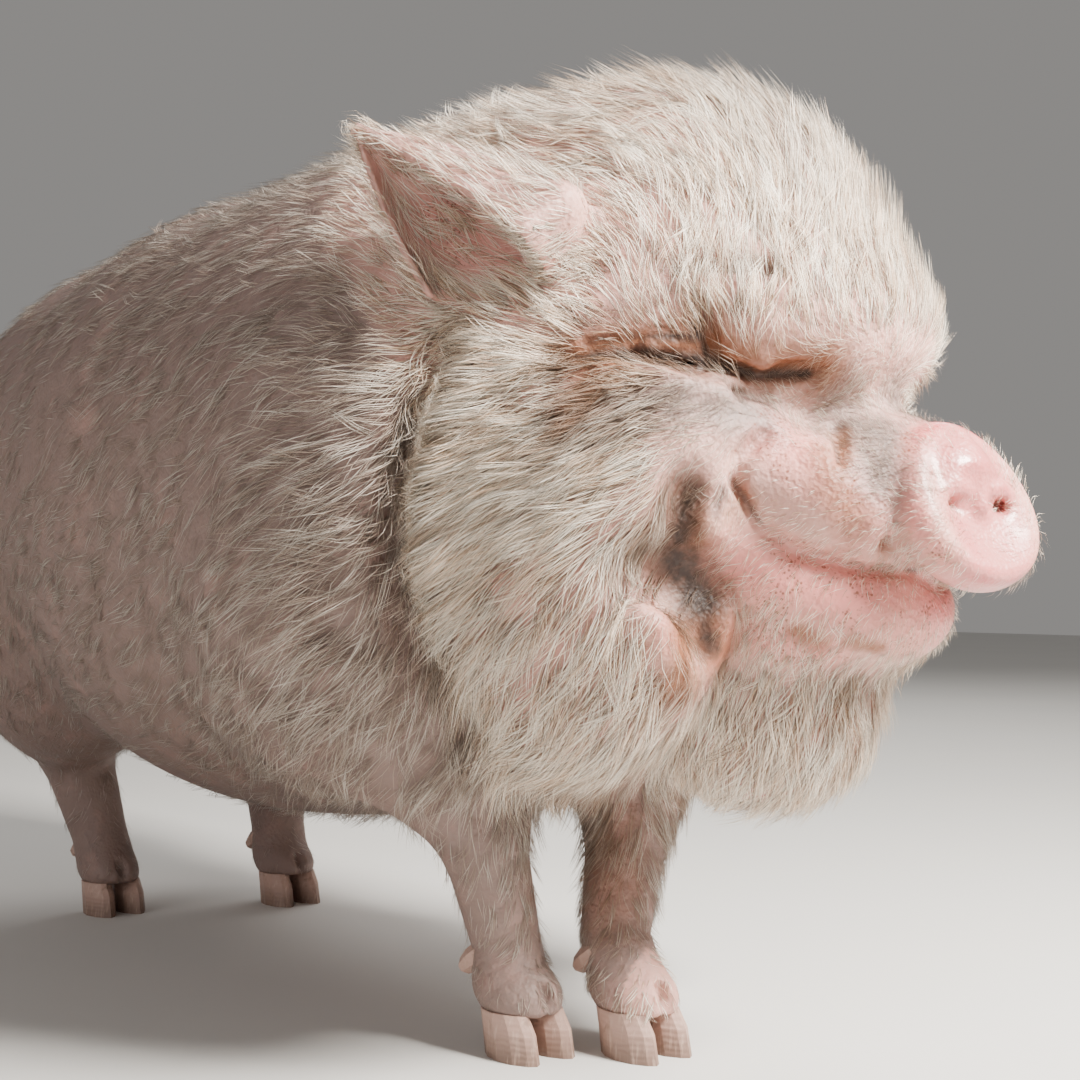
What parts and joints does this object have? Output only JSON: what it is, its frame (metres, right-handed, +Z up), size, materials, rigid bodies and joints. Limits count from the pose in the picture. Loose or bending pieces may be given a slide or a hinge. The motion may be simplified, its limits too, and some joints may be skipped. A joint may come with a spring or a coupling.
{
  "type": "domestic pig",
  "caption": "Heavy white pot-bellied pig standing, head turned a little, eyes shut in deep folds, with full jowls, short snout, upright ears and long bristly coat.",
  "frame": {"origin": "centre of the bounding box's base, on the floor under the animal", "axes": "+X from tail to nose, +Y to the animal's left, +Z up"},
  "size_m": [1.0259, 0.4628, 0.579],
  "materials": {
    "coat": "cream-white bristly hair over pink skin",
    "skin": "pink skin with fine white hair",
    "snout": "bare moist pink skin",
    "eye": "wet dark eye",
    "hoof": "dull brownish-pink horn"
  },
  "bodies": {
    "root": {"torso": "coat", "neck": "coat", "head": "coat", "snout": "snout", "tail": "coat", "ear_left": "skin", "ear_right": "skin", "eye_left": "eye", "eye_right": "eye", "leg_front_left": "skin", "leg_front_right": "skin", "leg_hind_left": "skin", "leg_hind_right": "skin", "hoof_front_left_outer": "hoof", "dewclaw_front_left_outer": "hoof", "hoof_front_left_inner": "hoof", "dewclaw_front_left_inner": "hoof", "hoof_front_right_outer": "hoof", "dewclaw_front_right_outer": "hoof", "hoof_front_right_inner": "hoof", "dewclaw_front_right_inner": "hoof", "hoof_hind_left_outer": "hoof", "dewclaw_hind_left_outer": "hoof", "hoof_hind_left_inner": "hoof", "dewclaw_hind_left_inner": "hoof", "hoof_hind_right_outer": "hoof", "dewclaw_hind_right_outer": "hoof", "hoof_hind_right_inner": "hoof", "dewclaw_hind_right_inner": "hoof"}
  },
  "joints": []
}
